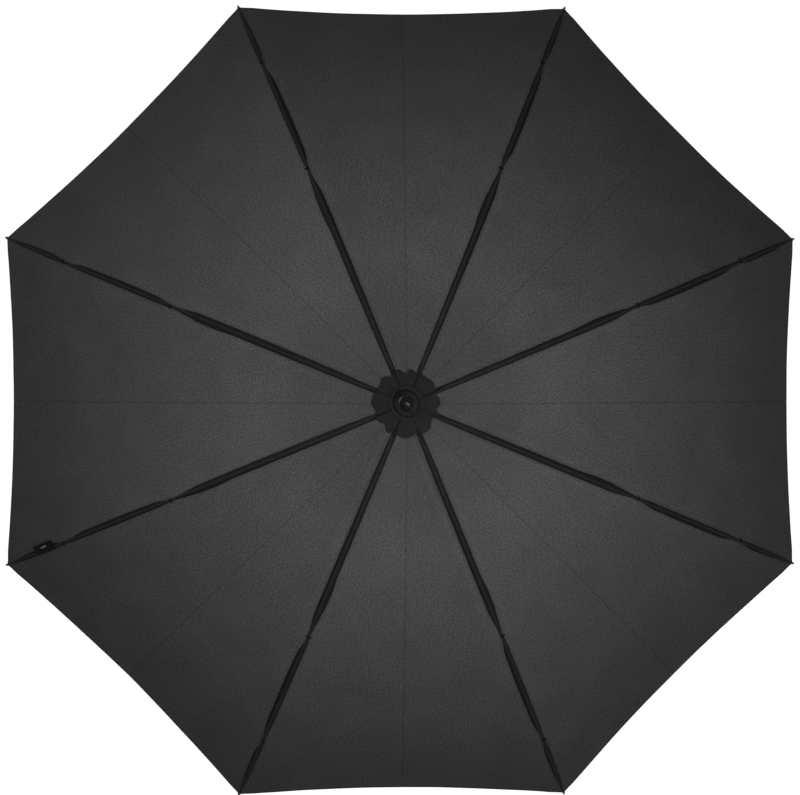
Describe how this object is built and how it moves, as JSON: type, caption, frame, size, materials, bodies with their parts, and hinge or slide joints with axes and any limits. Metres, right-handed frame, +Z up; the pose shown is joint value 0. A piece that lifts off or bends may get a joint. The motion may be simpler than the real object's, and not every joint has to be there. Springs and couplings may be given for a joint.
{
  "type": "golf umbrella",
  "caption": "Large straight-handled golf umbrella, open, with folding ribs, a sprung sliding runner and a dark cloth canopy with vent slits along its ribs.",
  "frame": {"origin": "centre of the handle's lower end, on the shaft's axis", "axes": "+Z up along the shaft towards the ferrule; the ribs stand at 22.5 degrees from +X and every 45 degrees on; the release button faces +X"},
  "size_m": [1.203, 1.203, 0.9889],
  "materials": {
    "canopy_cloth": "matte",
    "rosette_cloth": "matte",
    "label_weave": "matte",
    "strap_webbing": "matte",
    "rib_fibreglass": "satin",
    "stretcher_steel": "satin",
    "shaft_lacquer": "gloss",
    "nylon": "matte",
    "pin_steel": "satin",
    "ferrule_plastic": "satin",
    "handle_plastic": "satin",
    "grip_foam": "matte",
    "button_plastic": "gloss"
  },
  "bodies": {
    "shaft_assembly": {"shaft_tube": "shaft_lacquer", "top_notch": "nylon", "notch_pins": "pin_steel", "ferrule_collar": "ferrule_plastic", "ferrule_tip": "ferrule_plastic", "hub_washer": "nylon", "hub_rosette": "rosette_cloth", "opening_spring": "pin_steel", "handle_end_cap": "handle_plastic", "handle_core": "handle_plastic", "handle_grip": "grip_foam", "handle_housing": "handle_plastic", "button_spring": "pin_steel"},
    "rib_arm_1": {"rib_1": "rib_fibreglass", "rib_joint_1": "nylon", "rib_tip_1": "nylon", "canopy_panel_1": "canopy_cloth"},
    "rib_arm_2": {"rib_2": "rib_fibreglass", "rib_joint_2": "nylon", "rib_tip_2": "nylon", "canopy_panel_2": "canopy_cloth"},
    "rib_arm_3": {"rib_3": "rib_fibreglass", "rib_joint_3": "nylon", "rib_tip_3": "nylon", "canopy_panel_3": "canopy_cloth"},
    "rib_arm_4": {"rib_4": "rib_fibreglass", "rib_joint_4": "nylon", "rib_tip_4": "nylon", "canopy_panel_4": "canopy_cloth"},
    "rib_arm_5": {"rib_5": "rib_fibreglass", "rib_joint_5": "nylon", "rib_tip_5": "nylon", "canopy_panel_5": "canopy_cloth", "label_tag": "label_weave"},
    "rib_arm_6": {"rib_6": "rib_fibreglass", "rib_joint_6": "nylon", "rib_tip_6": "nylon", "canopy_panel_6": "canopy_cloth"},
    "rib_arm_7": {"rib_7": "rib_fibreglass", "rib_joint_7": "nylon", "rib_tip_7": "nylon", "canopy_panel_7": "canopy_cloth"},
    "rib_arm_8": {"rib_8": "rib_fibreglass", "rib_joint_8": "nylon", "rib_tip_8": "nylon", "canopy_panel_8": "canopy_cloth"},
    "stretcher_arm_1": {"stretcher_1": "stretcher_steel"},
    "stretcher_arm_2": {"stretcher_2": "stretcher_steel"},
    "stretcher_arm_3": {"stretcher_3": "stretcher_steel"},
    "stretcher_arm_4": {"stretcher_4": "stretcher_steel"},
    "stretcher_arm_5": {"stretcher_5": "stretcher_steel"},
    "stretcher_arm_6": {"stretcher_6": "stretcher_steel"},
    "stretcher_arm_7": {"stretcher_7": "stretcher_steel"},
    "stretcher_arm_8": {"stretcher_8": "stretcher_steel"},
    "runner_slider": {"runner": "nylon", "runner_pins": "pin_steel", "spring_pusher": "nylon"},
    "button": {"release_button": "button_plastic", "button_latch": "nylon"},
    "strap": {"closing_strap": "strap_webbing"}
  },
  "joints": [
    {"name": "rib_fold_1", "type": "hinge", "parent": "shaft_assembly", "child": "rib_arm_1", "pos_m": [0.01293, 0.00536, 0.93], "axis": [-0.3827, 0.9239, 0], "range_deg": [0, 63], "stiffness_Nm_per_rad": 4, "springref_deg": -114.59, "deforming": ["canopy_panel_1", "canopy_panel_2", "canopy_panel_3", "canopy_panel_4", "canopy_panel_5", "canopy_panel_6", "canopy_panel_7", "canopy_panel_8", "hub_rosette", "label_tag"]},
    {"name": "rib_fold_2", "type": "hinge", "parent": "shaft_assembly", "child": "rib_arm_2", "pos_m": [0.00536, 0.01293, 0.93], "axis": [-0.9239, 0.3827, 0], "range_deg": [0, 63]},
    {"name": "rib_fold_3", "type": "hinge", "parent": "shaft_assembly", "child": "rib_arm_3", "pos_m": [-0.00536, 0.01293, 0.93], "axis": [-0.9239, -0.3827, 0], "range_deg": [0, 63]},
    {"name": "rib_fold_4", "type": "hinge", "parent": "shaft_assembly", "child": "rib_arm_4", "pos_m": [-0.01293, 0.00536, 0.93], "axis": [-0.3827, -0.9239, 0], "range_deg": [0, 63]},
    {"name": "rib_fold_5", "type": "hinge", "parent": "shaft_assembly", "child": "rib_arm_5", "pos_m": [-0.01293, -0.00536, 0.93], "axis": [0.3827, -0.9239, 0], "range_deg": [0, 63]},
    {"name": "rib_fold_6", "type": "hinge", "parent": "shaft_assembly", "child": "rib_arm_6", "pos_m": [-0.00536, -0.01293, 0.93], "axis": [0.9239, -0.3827, 0], "range_deg": [0, 63]},
    {"name": "rib_fold_7", "type": "hinge", "parent": "shaft_assembly", "child": "rib_arm_7", "pos_m": [0.00536, -0.01293, 0.93], "axis": [0.9239, 0.3827, 0], "range_deg": [0, 63]},
    {"name": "rib_fold_8", "type": "hinge", "parent": "shaft_assembly", "child": "rib_arm_8", "pos_m": [0.01293, -0.00536, 0.93], "axis": [0.3827, 0.9239, 0], "range_deg": [0, 63]},
    {"name": "stretcher_pivot_1", "type": "hinge", "parent": "rib_arm_1", "child": "stretcher_arm_1", "pos_m": [0.3289, 0.13623, 0.81757], "axis": [-0.3827, 0.9239, 0], "range_deg": [-126, 0]},
    {"name": "stretcher_pivot_2", "type": "hinge", "parent": "rib_arm_2", "child": "stretcher_arm_2", "pos_m": [0.13623, 0.3289, 0.81757], "axis": [-0.9239, 0.3827, 0], "range_deg": [-126, 0]},
    {"name": "stretcher_pivot_3", "type": "hinge", "parent": "rib_arm_3", "child": "stretcher_arm_3", "pos_m": [-0.13623, 0.3289, 0.81757], "axis": [-0.9239, -0.3827, 0], "range_deg": [-126, 0]},
    {"name": "stretcher_pivot_4", "type": "hinge", "parent": "rib_arm_4", "child": "stretcher_arm_4", "pos_m": [-0.3289, 0.13623, 0.81757], "axis": [-0.3827, -0.9239, 0], "range_deg": [-126, 0]},
    {"name": "stretcher_pivot_5", "type": "hinge", "parent": "rib_arm_5", "child": "stretcher_arm_5", "pos_m": [-0.3289, -0.13623, 0.81757], "axis": [0.3827, -0.9239, 0], "range_deg": [-126, 0]},
    {"name": "stretcher_pivot_6", "type": "hinge", "parent": "rib_arm_6", "child": "stretcher_arm_6", "pos_m": [-0.13623, -0.3289, 0.81757], "axis": [0.9239, -0.3827, 0], "range_deg": [-126, 0]},
    {"name": "stretcher_pivot_7", "type": "hinge", "parent": "rib_arm_7", "child": "stretcher_arm_7", "pos_m": [0.13623, -0.3289, 0.81757], "axis": [0.9239, 0.3827, 0], "range_deg": [-126, 0]},
    {"name": "stretcher_pivot_8", "type": "hinge", "parent": "rib_arm_8", "child": "stretcher_arm_8", "pos_m": [0.3289, -0.13623, 0.81757], "axis": [0.3827, 0.9239, 0], "range_deg": [-126, 0]},
    {"name": "runner_lift", "type": "hinge", "parent": "stretcher_arm_1", "child": "runner_slider", "pos_m": [0.01293, 0.00536, 0.70514], "axis": [-0.3827, 0.9239, 0], "range_deg": [0, 63], "deforming": ["opening_spring"]},
    {"name": "button_press", "type": "slide", "parent": "shaft_assembly", "child": "button", "axis": [-1, 0, 0], "range_m": [0, 0.002], "stiffness_N_per_m": 400, "springref_m": -0.004, "deforming": ["button_spring"]},
    {"name": "strap_hang", "type": "hinge", "parent": "rib_arm_5", "child": "strap", "pos_m": [-0.57156, -0.22268, 0.64552], "axis": [0.3827, -0.9239, 0], "range_deg": [-63, 0]}
  ],
  "couplings": [
    {"joint": "rib_fold_2", "follows": "rib_fold_1", "ratio": 1},
    {"joint": "rib_fold_3", "follows": "rib_fold_1", "ratio": 1},
    {"joint": "rib_fold_4", "follows": "rib_fold_1", "ratio": 1},
    {"joint": "rib_fold_5", "follows": "rib_fold_1", "ratio": 1},
    {"joint": "rib_fold_6", "follows": "rib_fold_1", "ratio": 1},
    {"joint": "rib_fold_7", "follows": "rib_fold_1", "ratio": 1},
    {"joint": "rib_fold_8", "follows": "rib_fold_1", "ratio": 1},
    {"joint": "stretcher_pivot_1", "follows": "rib_fold_1", "ratio": -2},
    {"joint": "stretcher_pivot_2", "follows": "rib_fold_1", "ratio": -2},
    {"joint": "stretcher_pivot_3", "follows": "rib_fold_1", "ratio": -2},
    {"joint": "stretcher_pivot_4", "follows": "rib_fold_1", "ratio": -2},
    {"joint": "stretcher_pivot_5", "follows": "rib_fold_1", "ratio": -2},
    {"joint": "stretcher_pivot_6", "follows": "rib_fold_1", "ratio": -2},
    {"joint": "stretcher_pivot_7", "follows": "rib_fold_1", "ratio": -2},
    {"joint": "stretcher_pivot_8", "follows": "rib_fold_1", "ratio": -2},
    {"joint": "runner_lift", "follows": "rib_fold_1", "ratio": 1},
    {"joint": "strap_hang", "follows": "rib_fold_1", "ratio": -1}
  ]
}
